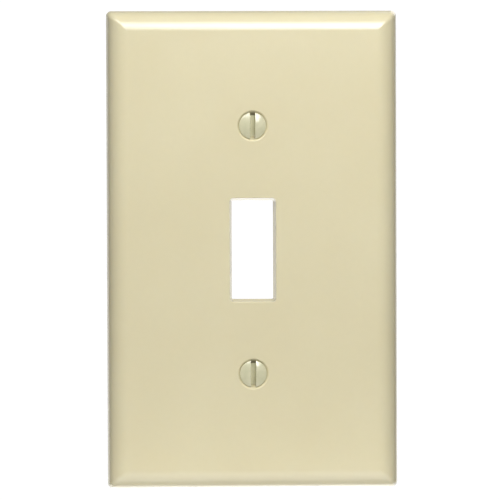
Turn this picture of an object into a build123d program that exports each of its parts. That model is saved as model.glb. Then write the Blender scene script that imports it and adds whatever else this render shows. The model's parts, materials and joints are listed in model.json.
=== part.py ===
"""One-gang toggle switch wall plate with its two cover screws.

A single moulded plate with a rolled edge and a hollow back stands on the wall, with one opening for a
switch's toggle. Two slotted oval-head screws pass through countersunk holes, one above and one below
the opening, into the switch's yoke behind the plate.

Frame, in millimetres: the origin is midway between the screws, on the wall. +X is to the right as the
plate is read, +Z is up, and +Y goes into the wall, so the front face is at y = -plate_depth.
"""

import math
import os

from build123d import *

# Outside of the plate, one gang of the standard size
plate_width = 70.9
plate_height = 116.5
plate_depth = 5.6
edge_radius = 4.9  # the rolled edge between the face and the side
side_draft = 10.0  # degrees that the side leans in from the wall to the face
corner_radius = 1.35

# Hollow back
face_thickness = 2.3
rim_thickness = 2.3
hollow_corner = 3.2
hollow_radius = 2.4  # between the hollow's side and its floor
ejector_mark_radius = 2.5
ejector_mark_depth = 0.15
ejector_mark_across = 50.0
ejector_mark_apart = 97.0

# Ribs, bosses and the collar round the opening all stand this far out of the hollow's floor
rib_height = 1.2
rib_thickness = 1.1
long_rib_spacing = 15.0
long_rib_count = 3
cross_rib_spacing = 44.0
cross_rib_count = 3
boss_radius = 4.9
collar_width = 1.6

# Toggle opening, narrowest at the back
opening_width = 10.05
opening_height = 24.0
opening_corner = 0.3
opening_draft = 10.0  # degrees, on each wall
opening_edge_radius = 0.12

# Screws and their holes: No. 6-32 thread, half an inch long, 82 degree countersink
screw_spacing = 60.325
screw_count = 2
countersink_angle = 82.0
countersink_radius = 3.75
countersink_edge_radius = 0.15
clearance_hole_radius = 2.05
seat_gap = 0.05  # running clearance between the head's cone and its seat
head_radius = 3.3
head_side = 0.25  # straight side between the cone and the crown, before the crown's edge is rounded
crown_rise = 0.75
crown_edge_radius = 0.3
slot_width = 1.2
slot_depth = 1.8
slot_cut_length = 10.0  # longer than the head is wide, so the slot is open at both ends
slot_edge_radius = 0.07
neck_radius = 1.495  # the bare shank, as thick as the thread's pitch diameter
neck_length = 1.25
thread_radius = 1.7526
screw_length = 12.7  # from the head's widest point to the tip
point_chamfer = 0.45

position_tolerance = 0.001  # for telling edges apart by where they are

# Worked out from the above
draft_slope = math.tan(math.radians(side_draft))
seat_slope = math.tan(math.radians(countersink_angle / 2))
roll_angle = math.radians(90.0 - side_draft)
side_height = plate_depth - edge_radius * (1 - math.cos(roll_angle))
side_lean = side_height * draft_slope
roll_width = side_lean + edge_radius * math.sin(roll_angle)
hollow_depth = plate_depth - face_thickness
hollow_width = plate_width - 2 * rim_thickness
hollow_height = plate_height - 2 * rim_thickness
rib_top = hollow_depth - rib_height  # depth of the ribs' tops in from the wall


def make_wall_plate():
    """The moulding: its outside is where a rolled bar across and a rolled bar up the plate meet."""
    looking_up = Plane(origin=(0, 0, -plate_height / 2), x_dir=(-1, 0, 0), z_dir=(0, 0, 1))
    looking_right = Plane(origin=(-plate_width / 2, 0, 0), x_dir=(0, 0, 1), z_dir=(1, 0, 0))
    bars = (
        (looking_up, plate_width / 2, plate_height, Mode.ADD),
        (looking_right, plate_height / 2, plate_width, Mode.INTERSECT),
    )

    with BuildPart() as plate:
        for plane, half, length, mode in bars:
            with BuildSketch(plane):
                with BuildLine():
                    left_side = Line((-half, 0), (-half + side_lean, side_height))
                    left_roll = RadiusArc(left_side @ 1, (-half + roll_width, plate_depth), edge_radius)
                    face = Line(left_roll @ 1, (half - roll_width, plate_depth))
                    right_roll = RadiusArc(face @ 1, (half - side_lean, side_height), edge_radius)
                    right_side = Line(right_roll @ 1, (half, 0))
                    Line(right_side @ 1, left_side @ 0)
                make_face()
            extrude(amount=length, mode=mode)

        # Soften the four mitred corners, from the wall to the face
        mitres = plate.edges().filter_by(lambda edge: is_at_corner(edge.center()))
        fillet(mitres, corner_radius)

        # Hollow the back
        with BuildSketch(Plane.XZ):
            RectangleRounded(hollow_width, hollow_height, hollow_corner)
        extrude(amount=hollow_depth, taper=side_draft, mode=Mode.SUBTRACT)
        hollow_floor = plate.faces().sort_by(lambda face: abs(face.center().Y + hollow_depth))[0]
        fillet(hollow_floor.edges(), hollow_radius)

        # Raise the ribs, the screw bosses and the opening's collar from the hollow's floor
        with BuildSketch(Plane.XZ.offset(hollow_depth)):
            with GridLocations(long_rib_spacing, 1, long_rib_count, 1):
                Rectangle(rib_thickness, hollow_height)
            with GridLocations(1, cross_rib_spacing, 1, cross_rib_count):
                Rectangle(hollow_width, rib_thickness)
            with GridLocations(1, screw_spacing, 1, screw_count):
                Rectangle(hollow_width, rib_thickness)
                Circle(boss_radius)
            Rectangle(opening_width + 2 * collar_width, opening_height + 2 * collar_width)
        extrude(amount=-rib_height)

        # Cut the toggle opening, wider at the front, and round its mouth
        with BuildSketch(Plane.XZ.offset(rib_top)):
            RectangleRounded(opening_width, opening_height, opening_corner)
        extrude(amount=plate_depth - rib_top, taper=-opening_draft, mode=Mode.SUBTRACT)
        front = plate.faces().sort_by(Axis.Y)[0]
        fillet(front.inner_wires()[0].edges(), opening_edge_radius)

        # Countersink the two screw holes and break their sharp mouths
        with Locations(Plane.XZ.offset(plate_depth)):
            with GridLocations(1, screw_spacing, 1, screw_count):
                CounterSinkHole(
                    radius=clearance_hole_radius,
                    counter_sink_radius=countersink_radius,
                    counter_sink_angle=countersink_angle,
                )
        front = plate.faces().sort_by(Axis.Y)[0]
        mouths = front.edges().filter_by(GeomType.CIRCLE).filter_by(is_round_a_screw)
        fillet(mouths, countersink_edge_radius)

        # Shallow marks left by the mould's ejector pins
        with BuildSketch(Plane.XZ.offset(hollow_depth)):
            with GridLocations(ejector_mark_across, ejector_mark_apart, 2, 2):
                Circle(ejector_mark_radius)
        extrude(amount=ejector_mark_depth, mode=Mode.SUBTRACT)

    return plate


def is_at_corner(point):
    """Whether a point on the outside is in one of the four corners of the plate."""
    across = plate_width / 2 - abs(point.X)
    up = plate_height / 2 - abs(point.Z)
    return across < roll_width and up < roll_width


def is_round_a_screw(edge):
    """Whether a round edge is centred on a screw hole."""
    centre = edge.arc_center
    off_height = abs(abs(centre.Z) - screw_spacing / 2)
    return abs(centre.X) < position_tolerance and off_height < position_tolerance


def is_along_a_slot(edge):
    """Whether an edge lies in one of the slot's two walls."""
    ends = (edge @ 0, edge @ 1)
    return all(abs(abs(end.X) - slot_width / 2) < position_tolerance for end in ends)


def make_screw(height):
    """One cover screw on the line x = 0 at this height, head to the front, slot upright."""
    seat_mouth = -plate_depth
    # the cone meets the head's side where the seat, less its clearance, has narrowed to the head's radius
    clearance = seat_gap * math.hypot(1, seat_slope)
    cone_front = seat_mouth + (countersink_radius - head_radius - clearance) / seat_slope
    crown_edge = cone_front - head_side
    crown_top = crown_edge - crown_rise
    cone_back = cone_front + (head_radius - neck_radius) / seat_slope
    thread_start = cone_back + neck_length
    tip = cone_front + screw_length

    with BuildPart() as screw:
        with BuildSketch(Plane.XY.offset(height)) as profile:
            with BuildLine():
                crown = TangentArc((0, crown_top), (head_radius, crown_edge), tangent=(1, 0))
                Polyline(
                    crown @ 1,
                    (head_radius, cone_front),
                    (neck_radius, cone_back),
                    (neck_radius, thread_start),
                    (thread_radius, thread_start + thread_radius - neck_radius),
                    (thread_radius, tip - point_chamfer),
                    (thread_radius - point_chamfer, tip),
                    (0, tip),
                    crown @ 0,
                )
            make_face()
            corner = profile.vertices().sort_by_distance((head_radius, crown_edge, 0))[0]
            fillet(corner, crown_edge_radius)
        revolve(axis=Axis((0, 0, height), (0, 1, 0)))

        # Saw the slot across the crown
        with BuildSketch(Plane.XZ.offset(-crown_top)):
            with Locations((0, height)):
                Rectangle(slot_width, slot_cut_length)
        extrude(amount=-slot_depth, mode=Mode.SUBTRACT)
        rounded = screw.faces().filter_by(lambda face: face.geom_type in (GeomType.SPHERE, GeomType.TORUS))
        slot_lips = rounded.edges().filter_by(is_along_a_slot)
        fillet(slot_lips, slot_edge_radius)

    return screw


os.makedirs("parts", exist_ok=True)

wall_plate = make_wall_plate()
wall_plate.part.label = "wall_plate"
export_step(wall_plate.part, "parts/wall_plate.step")

screw_heights = {"upper_screw": screw_spacing / 2, "lower_screw": -screw_spacing / 2}
for name, height in screw_heights.items():
    screw = make_screw(height)
    screw.part.label = name
    export_step(screw.part, f"parts/{name}.step")
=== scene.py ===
"""Looks for an ivory toggle switch wall plate and its two cover screws.

The CAD model is the frame. The plate and the screws are rebuilt here as finer meshes on the same
dimensions. The plate gets an evenly shaded rolled edge, and each screw gets its helical thread and a
slot with rounded lips. Everything is in metres, +Z up, and the front faces -Y.
"""

import json
import math

import bmesh
import bpy
from mathutils import Matrix, Vector


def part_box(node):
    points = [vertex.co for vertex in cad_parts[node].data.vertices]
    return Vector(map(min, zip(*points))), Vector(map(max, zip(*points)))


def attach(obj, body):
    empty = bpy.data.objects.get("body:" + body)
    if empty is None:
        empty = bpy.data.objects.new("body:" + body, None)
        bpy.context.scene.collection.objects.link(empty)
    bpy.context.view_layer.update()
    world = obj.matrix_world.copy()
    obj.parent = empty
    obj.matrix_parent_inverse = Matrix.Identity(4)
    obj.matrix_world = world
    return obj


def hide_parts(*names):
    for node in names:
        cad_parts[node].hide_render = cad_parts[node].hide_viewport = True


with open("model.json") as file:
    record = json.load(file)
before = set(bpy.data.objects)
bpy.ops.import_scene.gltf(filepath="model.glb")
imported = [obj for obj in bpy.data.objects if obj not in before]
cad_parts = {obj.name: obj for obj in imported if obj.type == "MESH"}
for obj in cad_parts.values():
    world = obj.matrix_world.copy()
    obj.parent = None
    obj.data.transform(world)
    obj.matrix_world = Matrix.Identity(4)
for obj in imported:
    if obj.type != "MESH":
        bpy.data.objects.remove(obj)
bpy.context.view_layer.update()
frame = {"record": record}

MM = 0.001

# ---------------------------------------------------------------- dimensions from the frame
plate_low, plate_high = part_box("wall_plate")
screw_low, screw_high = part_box("upper_screw")
half_width = plate_high.x
half_height = plate_high.z
depth = -plate_low.y

screw_height = (screw_low.z + screw_high.z) / 2
screw_tip = screw_high.y
head_radius = screw_high.x
mounts = {mount["name"]: mount for mount in frame["record"]["mounts"]}
thread_radius = mounts["device_screws"]["dims"]["stud_r_mm"] * MM

# ---------------------------------------------------------------- the moulding, as in the CAD source
FACE_THICKNESS = 2.3 * MM
RIB_HEIGHT = 1.2 * MM
EDGE_RADIUS = 4.9 * MM
SIDE_DRAFT = math.radians(10)
CORNER_RADIUS = 1.35 * MM
HOLLOW_DEPTH = depth - FACE_THICKNESS
RIM_THICKNESS = 2.3 * MM
HOLLOW_CORNER = 3.2 * MM
HOLLOW_RADIUS = 2.4 * MM
RIB_TOP = HOLLOW_DEPTH - RIB_HEIGHT  # in from the wall
RIB_THICKNESS = 1.1 * MM
LONG_RIB_SPACING = 15 * MM
CROSS_RIB_SPACING = 44 * MM
BOSS_RADIUS = 4.9 * MM
COLLAR_WIDTH = 1.6 * MM
EJECTOR_MARK = Vector((25, 0, 48.5)) * MM  # where one of the four is
EJECTOR_MARK_RADIUS = 2.5 * MM
EJECTOR_MARK_DEPTH = 0.15 * MM
OPENING_HALF = Vector((5.025 * MM, 12.0 * MM))  # half its width and height at the back
OPENING_CORNER = 0.3 * MM
OPENING_DRAFT = math.radians(10)
OPENING_EDGE_RADIUS = 0.12 * MM
COUNTERSINK_RADIUS = 3.75 * MM
COUNTERSINK_HALF_ANGLE = math.radians(41)
COUNTERSINK_EDGE_RADIUS = 0.15 * MM
HOLE_RADIUS = 2.05 * MM

# ---------------------------------------------------------------- the screws
SCREW_LENGTH = 12.7 * MM
HEAD_SIDE = 0.25 * MM  # straight, between the cone and the crown, before the crown's edge is rounded
CROWN_RISE = 0.75 * MM
CROWN_EDGE_RADIUS = 0.3 * MM
NECK_RADIUS = 1.495 * MM
NECK_LENGTH = 1.25 * MM
THREAD_PITCH = 25.4 / 32 * MM
THREAD_ROOT_RADIUS = 1.27 * MM
THREAD_ROOT_FLAT = 0.25  # shares of the pitch
THREAD_CREST_FLAT = 0.125
POINT_LENGTH = 0.45 * MM
SLOT_WIDTH = 1.2 * MM
SLOT_DEPTH = 1.8 * MM
SLOT_FLOOR_RADIUS = 0.22 * MM
SLOT_LIP_RADIUS = 0.09 * MM
LIP_CLEAR_OF_CONE = 0.1 * MM  # nothing nearer to the cone than this is softened

head_back = screw_tip - SCREW_LENGTH  # where the cone meets the head's straight side
crown_top = head_back - HEAD_SIDE - CROWN_RISE

# ---------------------------------------------------------------- how the meshes are made
ROLL_STEPS = 20
CORNER_STEPS = 10
ROUND_STEPS = 96
CROWN_STEPS = 12
SMALL_STEPS = 5
THREAD_ROWS_PER_TURN = 14
LIP_STEPS = 3

CUT_BEYOND = 1 * MM  # how far a cutting tool reaches past the surface that it cuts
FOOT_BURIED = 0.8 * MM  # how deep the raised pattern stands in the face
SAME_POINT = 1e-7  # metres between points that are merged
NEARLY_SAME = 1e-6
PLATE_CREASE = 32  # degrees between two faces, from which their edge is sharp
SCREW_CREASE = 40
CORNERS = ((1, 1), (-1, 1), (-1, -1), (1, -1))  # signs of x and z, anticlockwise as the front is seen


# ---------------------------------------------------------------- mesh tools
def new_piece(name, mesh):
    """An object of that name, in the scene, at the origin."""
    piece = bpy.data.objects.new(name, mesh)
    bpy.context.scene.collection.objects.link(piece)
    return piece


def lofted(name, rings):
    """A closed solid through rings with the same number of points, with a flat cap on each end."""
    bm = bmesh.new()
    rows = [[bm.verts.new(point) for point in ring] for ring in rings]
    count = len(rings[0])
    for lower, upper in zip(rows, rows[1:]):
        for here in range(count):
            after = (here + 1) % count
            bm.faces.new((lower[here], lower[after], upper[after], upper[here]))
    bm.faces.new(rows[0][::-1])
    bm.faces.new(rows[-1])
    bmesh.ops.remove_doubles(bm, verts=bm.verts, dist=SAME_POINT)
    bmesh.ops.recalc_face_normals(bm, faces=bm.faces)
    mesh = bpy.data.meshes.new(name)
    bm.to_mesh(mesh)
    bm.free()
    return new_piece(name, mesh)


def rectangle_ring(half_x, half_z, radius, y):
    """A rounded rectangle in the plane y, anticlockwise as the front is seen."""
    ring = []
    for corner, (side_x, side_z) in enumerate(CORNERS):
        centre = Vector((side_x * (half_x - radius), y, side_z * (half_z - radius)))
        for step in range(CORNER_STEPS + 1):
            angle = math.pi / 2 * (corner + step / CORNER_STEPS)
            ring.append(centre + radius * Vector((math.cos(angle), 0, math.sin(angle))))
    return ring


def circle_ring(radius, y, z=0.0):
    """A circle about the line x = 0 at height z, in the plane y."""
    angles = [2 * math.pi * step / ROUND_STEPS for step in range(ROUND_STEPS)]
    return [Vector((radius * math.cos(angle), y, z + radius * math.sin(angle))) for angle in angles]


def box_rings(low, high):
    """The two ends of a plain block, for lofted()."""
    corners = ((low.x, low.z), (high.x, low.z), (high.x, high.z), (low.x, high.z))
    return [[Vector((x, y, z)) for x, z in corners] for y in (low.y, high.y)]


def combine(piece, tools, operation):
    """Cuts the tools out of the piece, or joins them to it, and removes them."""
    for tool in tools:
        modifier = piece.modifiers.new(operation, "BOOLEAN")
        modifier.operation = operation
        modifier.solver = "EXACT"
        modifier.object = tool
    graph = bpy.context.evaluated_depsgraph_get()
    mesh = bpy.data.meshes.new_from_object(piece.evaluated_get(graph))
    piece.modifiers.clear()
    piece.data = mesh
    for tool in tools:
        bpy.data.objects.remove(tool)


def edit(piece, change):
    """Runs change on the piece's bmesh."""
    bm = bmesh.new()
    bm.from_mesh(piece.data)
    change(bm)
    bm.to_mesh(piece.data)
    bm.free()


def shade(piece, sharp_angle):
    """Smooth shading, held flat by big flat faces and creased where the surface turns sharply.

    The angle is in degrees.
    """
    mesh = piece.data
    mesh.shade_smooth()
    mesh.set_sharp_from_angle(angle=math.radians(sharp_angle))
    weighted = piece.modifiers.new("weighted normals", "WEIGHTED_NORMAL")
    weighted.keep_sharp = True
    weighted.weight = 100
    graph = bpy.context.evaluated_depsgraph_get()
    finished = bpy.data.meshes.new_from_object(piece.evaluated_get(graph))
    piece.modifiers.clear()
    piece.data = finished
    finished.name = piece.name


# ---------------------------------------------------------------- the plate
def rolled_ring(tilt):
    """Points round the plate where its rolled edge leans tilt back from facing forwards.

    A ball of CORNER_RADIUS that rolls along the mitre rounds each corner, so the ring's corner points
    lie on the ball, between the two sides' normals.
    """
    side_height = depth - EDGE_RADIUS * (1 - math.sin(SIDE_DRAFT))
    roll_width = side_height * math.tan(SIDE_DRAFT) + EDGE_RADIUS * math.cos(SIDE_DRAFT)
    inner = EDGE_RADIUS - CORNER_RADIUS
    reach = roll_width - inner * math.sin(tilt)
    y = -(depth - EDGE_RADIUS + inner * math.cos(tilt))
    ring = []
    for corner, (side_x, side_z) in enumerate(CORNERS):
        ball = Vector((side_x * (half_width - reach), y, side_z * (half_height - reach)))
        side = Vector((side_x * math.sin(tilt), -math.cos(tilt), 0))
        end = Vector((0, -math.cos(tilt), side_z * math.sin(tilt)))
        first, last = (side, end) if corner % 2 == 0 else (end, side)
        for step in range(CORNER_STEPS + 1):
            normal = first.slerp(last, step / CORNER_STEPS) if tilt else first
            ring.append(ball + CORNER_RADIUS * normal)
    return ring


def rim_ring():
    """The outline on the wall: the drafted sides run straight down to it."""
    ring = []
    for point in rolled_ring(math.pi / 2 - SIDE_DRAFT):
        slide = -point.y * math.tan(SIDE_DRAFT)
        outwards = Vector((math.copysign(slide, point.x), -point.y, math.copysign(slide, point.z)))
        ring.append(point + outwards)
    return ring


def plate_outside():
    """The outside as a solid block, from the wall over the rolled edge to the flat face."""
    steepest = math.pi / 2 - SIDE_DRAFT
    rings = [rim_ring()]
    rings += [rolled_ring(steepest * (1 - step / ROLL_STEPS)) for step in range(ROLL_STEPS + 1)]
    return lofted("plate_outside", rings)


def hollow():
    """The space to take out of the back, down to its floor, with a rounded foot to its sides."""
    half_x, half_z = half_width - RIM_THICKNESS, half_height - RIM_THICKNESS
    slope = math.tan(SIDE_DRAFT)
    flare = CUT_BEYOND * slope
    rings = [rectangle_ring(half_x + flare, half_z + flare, HOLLOW_CORNER + flare, CUT_BEYOND)]
    foot = HOLLOW_DEPTH - HOLLOW_RADIUS * (1 - math.sin(SIDE_DRAFT))
    steepest = math.pi / 2 - SIDE_DRAFT
    for step in range(ROLL_STEPS // 2 + 1):
        tilt = steepest * (1 - 2 * step / ROLL_STEPS)
        inset = foot * slope + HOLLOW_RADIUS * (math.sin(steepest) - math.sin(tilt))
        y = -(HOLLOW_DEPTH - HOLLOW_RADIUS * (1 - math.cos(tilt)))
        rings.append(rectangle_ring(half_x - inset, half_z - inset, HOLLOW_CORNER - inset, y))
    return lofted("hollow", rings)


def opening():
    """The toggle opening, narrowest at the collar behind it, with a rounded mouth."""
    slope = math.tan(OPENING_DRAFT)
    centre_depth = depth - OPENING_EDGE_RADIUS
    centre_inset = (centre_depth - RIB_TOP) * slope + OPENING_EDGE_RADIUS / math.cos(OPENING_DRAFT)
    sections = [(0.0, 0.0), (0.0, -RIB_TOP)]
    for step in range(2 * SMALL_STEPS + 1):
        angle = -OPENING_DRAFT + (math.pi / 2 + OPENING_DRAFT) * step / (2 * SMALL_STEPS)
        inset = centre_inset - OPENING_EDGE_RADIUS * math.cos(angle)
        sections.append((inset, -(centre_depth + OPENING_EDGE_RADIUS * math.sin(angle))))
    sections.append((centre_inset, -(depth + CUT_BEYOND)))
    half_x, half_z = OPENING_HALF
    rings = [rectangle_ring(half_x + out, half_z + out, OPENING_CORNER + out, y) for out, y in sections]
    return lofted("opening", rings)


def screw_hole(z):
    """A countersunk hole with its sharp mouth broken."""
    slope = math.tan(COUNTERSINK_HALF_ANGLE)
    turn = math.pi / 2 - COUNTERSINK_HALF_ANGLE
    reach = COUNTERSINK_EDGE_RADIUS * math.tan(turn / 2)
    cone_back = -(depth - (COUNTERSINK_RADIUS - HOLE_RADIUS) / slope)
    sections = [(HOLE_RADIUS, CUT_BEYOND), (HOLE_RADIUS, cone_back)]
    for step in range(SMALL_STEPS + 1):
        angle = turn * (1 - step / SMALL_STEPS)
        radius = COUNTERSINK_RADIUS + reach - COUNTERSINK_EDGE_RADIUS * math.sin(angle)
        sections.append((radius, -(depth - COUNTERSINK_EDGE_RADIUS * (1 - math.cos(angle)))))
    sections.append((COUNTERSINK_RADIUS + reach, -(depth + CUT_BEYOND)))
    return lofted("screw_hole", [circle_ring(radius, y, z) for radius, y in sections])


def ejector_marks():
    """The four shallow discs to take out of the hollow's floor."""
    marks = []
    for x in (-EJECTOR_MARK.x, EJECTOR_MARK.x):
        for z in (-EJECTOR_MARK.z, EJECTOR_MARK.z):
            ends = (-(HOLLOW_DEPTH + EJECTOR_MARK_DEPTH), -RIB_TOP)
            rings = [
                [point + Vector((x, 0, 0)) for point in circle_ring(EJECTOR_MARK_RADIUS, y, z)]
                for y in ends
            ]
            marks.append(lofted("ejector_mark", rings))
    return marks


def raised_pattern():
    """Ribs, screw bosses and the opening's collar, as one solid with its foot buried in the face."""
    foot = -(HOLLOW_DEPTH + FOOT_BURIED)
    half_x, half_z = half_width - RIM_THICKNESS, half_height - RIM_THICKNESS
    half_rib = RIB_THICKNESS / 2
    collar = OPENING_HALF + Vector((COLLAR_WIDTH, COLLAR_WIDTH))

    def block(left, right, low, high):
        return lofted("block", box_rings(Vector((left, foot, low)), Vector((right, -RIB_TOP, high))))

    base = block(-collar.x, collar.x, -collar.y, collar.y)
    parts = []
    for x in (-LONG_RIB_SPACING, 0, LONG_RIB_SPACING):
        parts.append(block(x - half_rib, x + half_rib, -half_z, half_z))
    for z in (-CROSS_RIB_SPACING, -screw_height, 0, screw_height, CROSS_RIB_SPACING):
        parts.append(block(-half_x, half_x, z - half_rib, z + half_rib))
    for z in (-screw_height, screw_height):
        parts.append(lofted("boss", [circle_ring(BOSS_RADIUS, y, z) for y in (foot, -RIB_TOP)]))
    combine(base, parts, "UNION")
    return base


def make_plate():
    """The whole moulding, with its back hollowed and ribbed and its openings cut."""
    plate = plate_outside()
    combine(plate, [hollow()], "DIFFERENCE")
    combine(plate, [raised_pattern()], "UNION")
    cutters = [opening(), screw_hole(screw_height), screw_hole(-screw_height), *ejector_marks()]
    combine(plate, cutters, "DIFFERENCE")
    plate.name = "wall_plate_moulding"

    def clean(bm):
        bmesh.ops.remove_doubles(bm, verts=bm.verts, dist=NEARLY_SAME)
        bmesh.ops.dissolve_degenerate(bm, edges=bm.edges, dist=SAME_POINT)

    edit(plate, clean)
    shade(plate, PLATE_CREASE)
    return plate


# ---------------------------------------------------------------- the screws
def thread_radius_at(y, angle, start, end):
    """The radius of a right-hand thread that grows out of the bare neck and is cut off by the point."""
    turn = (y - start) / THREAD_PITCH - angle / (2 * math.pi)
    ridge = abs(2 * (turn - math.floor(turn)) - 1)
    flank = 1 - THREAD_CREST_FLAT - THREAD_ROOT_FLAT
    share = min(1.0, max(0.0, (ridge - THREAD_ROOT_FLAT) / flank))
    full = THREAD_ROOT_RADIUS + (thread_radius - THREAD_ROOT_RADIUS) * share
    fade = min(1.0, max(0.0, (y - start) / THREAD_PITCH))
    point = thread_radius - POINT_LENGTH + (end - y)
    return min(NECK_RADIUS + (full - NECK_RADIUS) * fade, point)


def crown_profile():
    """Radius and y, from near the crown's middle over its rounded edge to the head's straight side."""
    sphere = (head_radius**2 + CROWN_RISE**2) / (2 * CROWN_RISE)
    edge_centre = head_radius - CROWN_EDGE_RADIUS
    meeting = math.asin(edge_centre / (sphere - CROWN_EDGE_RADIUS))
    edge_y = crown_top + sphere - (sphere - CROWN_EDGE_RADIUS) * math.cos(meeting)
    profile = []
    for step in range(1, CROWN_STEPS):
        angle = meeting * step / CROWN_STEPS
        profile.append((sphere * math.sin(angle), crown_top + sphere * (1 - math.cos(angle))))
    for step in range(CROWN_STEPS + 1):
        angle = meeting + (math.pi / 2 - meeting) * step / CROWN_STEPS
        radius = edge_centre + CROWN_EDGE_RADIUS * math.sin(angle)
        profile.append((radius, edge_y - CROWN_EDGE_RADIUS * math.cos(angle)))
    return profile


def make_screw(name, z):
    """One screw as a surface of rings, with the slot cut across its crown."""
    neck_start = head_back + (head_radius - NECK_RADIUS) / math.tan(COUNTERSINK_HALF_ANGLE)
    thread_start = neck_start + NECK_LENGTH

    rings = [circle_ring(radius, y, z) for radius, y in crown_profile()]
    rings.append(circle_ring(head_radius, head_back, z))
    rings.append(circle_ring(NECK_RADIUS, neck_start, z))
    rings.append(circle_ring(NECK_RADIUS, thread_start, z))
    row_spacing = THREAD_PITCH / THREAD_ROWS_PER_TURN
    rows = math.ceil((screw_tip - thread_start) / row_spacing)
    angles = [2 * math.pi * step / ROUND_STEPS for step in range(ROUND_STEPS)]
    for row in range(1, rows + 1):
        y = thread_start + (screw_tip - thread_start) * row / rows
        ring = []
        for angle in angles:
            # It grows from +X to +Z, the other way from a turn about +Y, so the helix has its negative
            radius = thread_radius_at(y, -angle, thread_start, screw_tip)
            ring.append(Vector((radius * math.cos(angle), y, z + radius * math.sin(angle))))
        rings.append(ring)
    screw = lofted(name, rings)

    combine(screw, [slot_cutter(z)], "DIFFERENCE")

    def soften(bm):
        bmesh.ops.remove_doubles(bm, verts=bm.verts, dist=NEARLY_SAME)
        bm.edges.ensure_lookup_table()
        lips = [edge for edge in bm.edges if is_slot_lip(edge)]
        bmesh.ops.bevel(
            bm,
            geom=lips,
            offset=SLOT_LIP_RADIUS,
            offset_type="OFFSET",
            segments=LIP_STEPS,
            profile=0.5,
            affect="EDGES",
        )

    edit(screw, soften)
    shade(screw, SCREW_CREASE)
    return screw


def slot_cutter(z):
    """A bar across the crown, with a flat bottom that leaves a rounded corner at each wall's foot."""
    half = SLOT_WIDTH / 2
    floor = crown_top + SLOT_DEPTH
    outline = [(half, crown_top - CUT_BEYOND), (-half, crown_top - CUT_BEYOND)]
    for side in (-1, 1):
        for step in range(SMALL_STEPS + 1):
            share = step / SMALL_STEPS if side < 0 else 1 - step / SMALL_STEPS
            angle = math.pi / 2 * share
            x = side * (half - SLOT_FLOOR_RADIUS * (1 - math.cos(angle)))
            outline.append((x, floor - SLOT_FLOOR_RADIUS * (1 - math.sin(angle))))
    reach = 2 * head_radius
    rings = [[Vector((x, y, z + end)) for x, y in outline] for end in (-reach, reach)]
    return lofted("slot_cutter", rings)


def is_slot_lip(edge):
    """Whether an edge runs along the top of one of the slot's walls."""
    ends = [vertex.co for vertex in edge.verts]
    at_wall = all(abs(abs(end.x) - SLOT_WIDTH / 2) < NEARLY_SAME for end in ends)
    in_crown = all(end.y < head_back - LIP_CLEAR_OF_CONE for end in ends)
    if not (at_wall and in_crown and len(edge.link_faces) == 2):
        return False
    return edge.calc_face_angle() > math.radians(SCREW_CREASE)


# ---------------------------------------------------------------- materials
WHITE = (1, 1, 1, 1)
IVORY_DEEP = (0.735, 0.665, 0.438, 1)
IVORY_PALE = (0.755, 0.690, 0.463, 1)
SPECKLE_COLOUR = (0.66, 0.60, 0.39, 1)
# The dark colour of the painted shade in the countersinks
PAINTED_SHADE_COLOUR = (0.21, 0.19, 0.11, 1)
ENAMEL_DEEP = (0.600, 0.585, 0.385, 1)
ENAMEL_PALE = (0.680, 0.650, 0.450, 1)
ZINC_DULL = (0.55, 0.56, 0.57, 1)
ZINC_BRIGHT = (0.78, 0.78, 0.76, 1)
GLOSS_IOR = 1.75
NOISE_SPREAD = (0.3, 0.7)  # most of a noise's values lie between these

# The plastic: sizes are those of a noise's lumps, depths those of its bumps
CLOUD_SIZE = 22 * MM
GRAIN_SIZE = 1.2 * MM
GRAIN_SPREAD = (0.25, 0.75)
SPECKLE_SHARE = 0.10
SMUDGE_SIZE = 9 * MM
FRONT_ROUGHNESS = (0.20, 0.26)
BACK_ROUGHER = 0.25
FRONT_TO_BACK = (0.2, 0.6)  # Y of the normal, as the front's polish turns into the back's finish
PEEL_SIZE = 3.5 * MM
PEEL_DEPTH = 0.006 * MM
TEXTURE_SIZE = 0.35 * MM
TEXTURE_DEPTH = 0.02 * MM

# Painted shade in the countersinks: radii from the screw's axis, and its strength below and above the
# axis
PAINTED_SHADE_OUTSIDE = 3.55 * MM
PAINTED_SHADE_INSIDE = 3.0 * MM
PAINTED_SHADE_FADE = 0.4 * MM  # it sets in this far in front of the ribs' tops, and is full at twice that
PAINTED_SHADE_BELOW = 0.25
PAINTED_SHADE_ABOVE = 0.95

# The screws' enamel, which ends in a ragged line this far behind the crown's top
ENAMEL_ENDS = (2.6 * MM, 3.0 * MM)
RAGGED_SIZE = 0.6 * MM
RAGGED_DEPTH = 0.5 * MM
LUMP_SIZE = 1.6 * MM
LUMP_DEPTH = 0.03 * MM
SPANGLE_SIZE = 0.9 * MM
ENAMEL_ROUGHNESS = 0.2
ZINC_ROUGHNESS = 0.38


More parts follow.
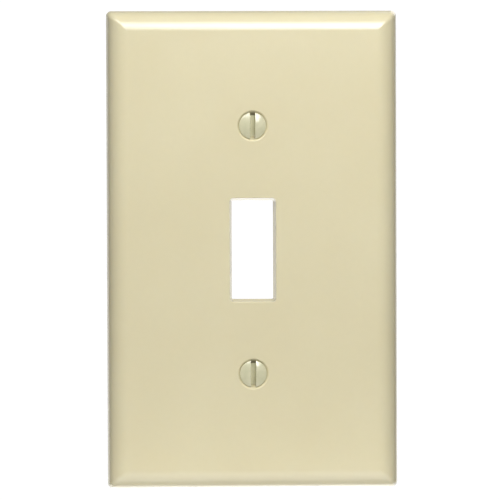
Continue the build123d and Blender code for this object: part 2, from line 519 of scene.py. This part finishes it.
class Nodes:
    """Builds one node tree."""

    def __init__(self, tree):
        self.tree = tree

    def add(self, kind, inputs=None, **settings):
        node = self.tree.nodes.new(kind)
        for key, value in settings.items():
            setattr(node, key, value)
        for key, value in (inputs or {}).items():
            self.put(value, node.inputs[key])
        return node

    def put(self, value, socket):
        """Links the value if it is another node's socket, and sets it if it is a number or a colour."""
        if isinstance(value, bpy.types.NodeSocket):
            self.tree.links.new(value, socket)
        else:
            socket.default_value = value

    def noise(self, place, size, detail):
        """Noise whose lumps are about size metres across."""
        inputs = {"Vector": place, "Scale": 1 / size, "Detail": detail}
        return self.add("ShaderNodeTexNoise", inputs).outputs["Fac"]

    def axes(self, vector):
        """The X, Y and Z of a vector, as sockets."""
        return self.add("ShaderNodeSeparateXYZ", {"Vector": vector}).outputs

    def math(self, operation, *values):
        node = self.add("ShaderNodeMath", dict(enumerate(values)), operation=operation)
        return node.outputs[0]

    def remap(self, value, span, to_low=0.0, to_high=1.0):
        """The value, stretched from its span to run from to_low to to_high, and held at the ends."""
        low, high = span
        inputs = {"Value": value, "From Min": low, "From Max": high, "To Min": to_low, "To Max": to_high}
        return self.add("ShaderNodeMapRange", inputs).outputs["Result"]

    def mix(self, share, first, second):
        """A colour between two. The mix node's sockets for colours are 6 and 7 in, and 2 out."""
        node = self.add("ShaderNodeMix", data_type="RGBA")
        self.put(share, node.inputs[0])
        self.put(first, node.inputs[6])
        self.put(second, node.inputs[7])
        return node.outputs[2]

    def bump(self, height, depth_of_bumps, after=None):
        inputs = {"Height": height, "Distance": depth_of_bumps, "Strength": 1.0}
        if after is not None:
            inputs["Normal"] = after
        return self.add("ShaderNodeBump", inputs).outputs["Normal"]


class Surface(Nodes):
    """Builds one material round its principled shader."""

    def __init__(self, name):
        self.material = bpy.data.materials.new(name)
        self.material.use_nodes = True
        super().__init__(self.material.node_tree)
        self.shader = self.tree.nodes["Principled BSDF"]

    def set(self, **inputs):
        for key, value in inputs.items():
            self.put(value, self.shader.inputs[key.replace("_", " ")])


def painted_shade_amount(look, point):
    """Painted shade in the countersinks, darker in their upper sides, where the light from above does not
    reach.
    """
    place = look.axes(point)
    hole = look.math("MULTIPLY", look.math("SIGN", place["Z"]), screw_height)
    above = look.math("SUBTRACT", place["Z"], hole)
    squares = (look.math("MULTIPLY", side, side) for side in (place["X"], above))
    from_screw = look.math("SQRT", look.math("ADD", *squares))
    in_seat = look.remap(from_screw, (PAINTED_SHADE_OUTSIDE, PAINTED_SHADE_INSIDE))
    at_front = look.remap(place["Y"], (-RIB_TOP - PAINTED_SHADE_FADE, -RIB_TOP - 2 * PAINTED_SHADE_FADE))
    amount = look.remap(above, (-head_radius, head_radius), PAINTED_SHADE_BELOW, PAINTED_SHADE_ABOVE)
    return look.math("MULTIPLY", amount, look.math("MULTIPLY", in_seat, at_front))


def ivory_plastic():
    """Gloss thermoset moulding: slight clouding, a polished front, a duller back and painted shade in the
    countersinks.
    """
    look = Surface("ivory_plastic")
    place = look.add("ShaderNodeTexCoord")
    point, normal = place.outputs["Object"], place.outputs["Normal"]

    clouds = look.noise(point, CLOUD_SIZE, 3)
    grain = look.noise(point, GRAIN_SIZE, 2)
    tint = look.mix(look.remap(clouds, NOISE_SPREAD), IVORY_DEEP, IVORY_PALE)
    speckle = look.remap(grain, GRAIN_SPREAD, 0.0, SPECKLE_SHARE)
    clean = look.mix(speckle, tint, SPECKLE_COLOUR)
    # The countersinks are darkened with painted shade, most in their upper sides
    colour = look.mix(painted_shade_amount(look, point), clean, PAINTED_SHADE_COLOUR)

    back = look.remap(look.axes(normal)["Y"], FRONT_TO_BACK)
    smudge = look.remap(look.noise(point, SMUDGE_SIZE, 4), NOISE_SPREAD, *FRONT_ROUGHNESS)
    rough = look.math("ADD", smudge, look.math("MULTIPLY", back, BACK_ROUGHER))

    peel = look.bump(look.noise(point, PEEL_SIZE, 1), PEEL_DEPTH)
    texture = look.noise(point, TEXTURE_SIZE, 2)
    bumps = look.bump(look.math("MULTIPLY", texture, back), TEXTURE_DEPTH, peel)

    look.set(Base_Color=colour, Roughness=rough, Normal=bumps, IOR=GLOSS_IOR)
    look.set(Subsurface_Weight=0.12, Subsurface_Radius=(1.0, 0.8, 0.5), Subsurface_Scale=0.6 * MM)
    return look.material


def enamelled_steel():
    """Zinc-plated steel, with a coat of ivory enamel over the head and in the slot."""
    look = Surface("ivory_enamelled_steel")
    point = look.add("ShaderNodeTexCoord").outputs["Object"]

    unevenness = look.math("MULTIPLY", look.noise(point, RAGGED_SIZE, 3), RAGGED_DEPTH)
    ragged = look.math("ADD", look.axes(point)["Y"], unevenness)
    bare = look.remap(ragged, [crown_top + end for end in ENAMEL_ENDS])

    lumps = look.noise(point, LUMP_SIZE, 2)
    enamel = look.mix(look.remap(lumps, NOISE_SPREAD), ENAMEL_DEEP, ENAMEL_PALE)
    zinc = look.mix(look.noise(point, SPANGLE_SIZE, 4), ZINC_DULL, ZINC_BRIGHT)
    colour = look.mix(bare, enamel, zinc)

    rough = look.remap(bare, (0, 1), ENAMEL_ROUGHNESS, ZINC_ROUGHNESS)
    flow = look.bump(lumps, LUMP_DEPTH)
    look.set(Base_Color=colour, Metallic=bare, Roughness=rough, Normal=flow, IOR=GLOSS_IOR)
    return look.material


# ---------------------------------------------------------------- the floor and the surroundings
FLOOR_HEIGHT = -0.32
FLOOR_RADIUS = 0.6
FLOOR_THICKNESS = 1 * MM
FLOOR_COLOUR = (0.7, 0.7, 0.7, 1)
FLOOR_FADE = (0.6 * FLOOR_RADIUS, 0.98 * FLOOR_RADIUS)
FLOOR_GLOW = 0.05
FLOOR_GLOW_BEHIND = 1.6
FLOOR_GLOW_SPAN = (-0.12, -0.3)  # behind the plate, on the disc's own Z
AROUND_LEVEL = 0.11
BEHIND_LOW_LEVEL = 2.0
BEHIND_HIGH_LEVEL = 0.45
BEHIND_LOW_TO_HIGH = (-0.25, 0.2)  # Z of the direction
AROUND_TO_BEHIND = (0.75, 0.95)  # Y of the direction
SEEN_LEVEL = 1.05


def make_floor():
    """A pale disc well below the plate, glowing behind it and fading out into the white surroundings."""
    floor = lofted("floor", [circle_ring(FLOOR_RADIUS, y) for y in (0, FLOOR_THICKNESS)])
    floor.rotation_euler = (math.pi / 2, 0, 0)
    floor.location = (0, 0, FLOOR_HEIGHT)
    look = Surface("pale_floor")
    point = look.add("ShaderNodeTexCoord").outputs["Object"]
    away = look.add("ShaderNodeVectorMath", {0: point}, operation="LENGTH").outputs["Value"]
    clear = look.remap(away, FLOOR_FADE)
    glow = look.remap(look.axes(point)["Z"], FLOOR_GLOW_SPAN, FLOOR_GLOW, FLOOR_GLOW_BEHIND)
    look.set(Base_Color=FLOOR_COLOUR, Roughness=0.8)
    look.set(Emission_Color=WHITE, Emission_Strength=glow)
    seen_through = look.add("ShaderNodeBsdfTransparent").outputs[0]
    blend = look.add("ShaderNodeMixShader", {0: clear, 1: look.shader.outputs[0], 2: seen_through})
    look.put(blend.outputs[0], look.tree.nodes["Material Output"].inputs["Surface"])
    floor.data.materials.append(look.material)


def make_world():
    """Surroundings that look white, and light the plate more from behind it than from the front."""
    world = bpy.data.worlds.new("studio")
    bpy.context.scene.world = world
    world.use_nodes = True
    world.node_tree.nodes.clear()
    studio = Nodes(world.node_tree)

    direction = studio.axes(studio.add("ShaderNodeTexCoord").outputs["Generated"])
    behind = studio.remap(direction["Z"], BEHIND_LOW_TO_HIGH, BEHIND_LOW_LEVEL, BEHIND_HIGH_LEVEL)
    level = studio.remap(direction["Y"], AROUND_TO_BEHIND, AROUND_LEVEL, behind)
    lighting, seen = (
        studio.add("ShaderNodeBackground", {"Color": WHITE, "Strength": strength}).outputs[0]
        for strength in (level, SEEN_LEVEL)
    )
    to_camera = studio.add("ShaderNodeLightPath").outputs["Is Camera Ray"]
    choice = studio.add("ShaderNodeMixShader", {0: to_camera, 1: lighting, 2: seen})
    studio.add("ShaderNodeOutputWorld", {"Surface": choice.outputs[0]})


# ---------------------------------------------------------------- lights and camera
LIGHT_DISTANCE = 0.8
CLOSE_DISTANCE = 0.36
UNDER_PLACE = Vector((0, -0.02, -0.072))
CAMERA_DISTANCE = 1.0
CAMERA_AZIMUTH = math.radians(2.5)  # to the left of the plate
CAMERA_ELEVATION = math.radians(1.33)
CAMERA_ROLL = math.radians(0.2)
CAMERA_AIM = Vector((-0.49, 0, -0.14)) * MM
SENSOR_WIDTH = 36
FRAME_WIDTH = 122.23 * MM


def softbox(name, place, size, radiance):
    """A rectangular light facing the plate's middle, as bright as surroundings of that strength.

    The camera doesn't see it.
    """
    light = bpy.data.lights.new(name, "AREA")
    light.shape = "RECTANGLE"
    light.size, light.size_y = size
    light.energy = radiance * math.pi * light.size * light.size_y
    lamp = bpy.data.objects.new(name, light)
    lamp.location = place
    lamp.rotation_mode = "QUATERNION"
    lamp.rotation_quaternion = (-place).to_track_quat("-Z", "Y")
    lamp.visible_camera = False
    bpy.context.scene.collection.objects.link(lamp)


def placed(azimuth, elevation, distance=LIGHT_DISTANCE):
    """A place seen from the plate at that angle to the right and up from straight in front."""
    azimuth, elevation = math.radians(azimuth), math.radians(elevation)
    level = math.cos(elevation)
    across, forwards = math.sin(azimuth) * level, -math.cos(azimuth) * level
    return distance * Vector((across, forwards, math.sin(elevation)))


def make_lights():
    """A broad light high in front, a small one close in front, a strip under the plate and one behind."""
    softbox("high", placed(-12, 46), size=(1.24, 0.27), radiance=5.7)
    softbox("middle", placed(11, 32, CLOSE_DISTANCE), size=(0.18, 0.14), radiance=7.1)
    softbox("under", UNDER_PLACE, size=(0.12, 0.03), radiance=0.8)
    softbox("rear", placed(150, 30), size=(0.5, 0.5), radiance=1.2)


def make_camera():
    """The photograph's viewing angle and framing."""
    camera_data = bpy.data.cameras.new("camera")
    camera_data.sensor_width = SENSOR_WIDTH
    camera_data.lens = SENSOR_WIDTH * CAMERA_DISTANCE / FRAME_WIDTH
    camera = bpy.data.objects.new("camera", camera_data)
    level = math.cos(CAMERA_ELEVATION)
    across, forwards = -math.sin(CAMERA_AZIMUTH) * level, -math.cos(CAMERA_AZIMUTH) * level
    back = Vector((across, forwards, math.sin(CAMERA_ELEVATION)))
    camera.rotation_mode = "QUATERNION"
    turned = (-back).to_track_quat("-Z", "Y").to_matrix() @ Matrix.Rotation(-CAMERA_ROLL, 3, "Z")
    camera.rotation_quaternion = turned.to_quaternion()
    camera.location = CAMERA_AIM + CAMERA_DISTANCE * back
    bpy.context.scene.collection.objects.link(camera)
    bpy.context.scene.camera = camera


# ---------------------------------------------------------------- the scene
make_camera()
make_world()
make_lights()
make_floor()

plate = make_plate()
plate.data.materials.append(ivory_plastic())
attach(plate, "plate")
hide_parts("wall_plate")

steel = enamelled_steel()
for node, z in (("upper_screw", screw_height), ("lower_screw", -screw_height)):
    screw = make_screw(f"{node}_threaded", z)
    screw.data.materials.append(steel)
    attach(screw, node)
    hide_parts(node)

bpy.context.scene.view_settings.view_transform = "Standard"
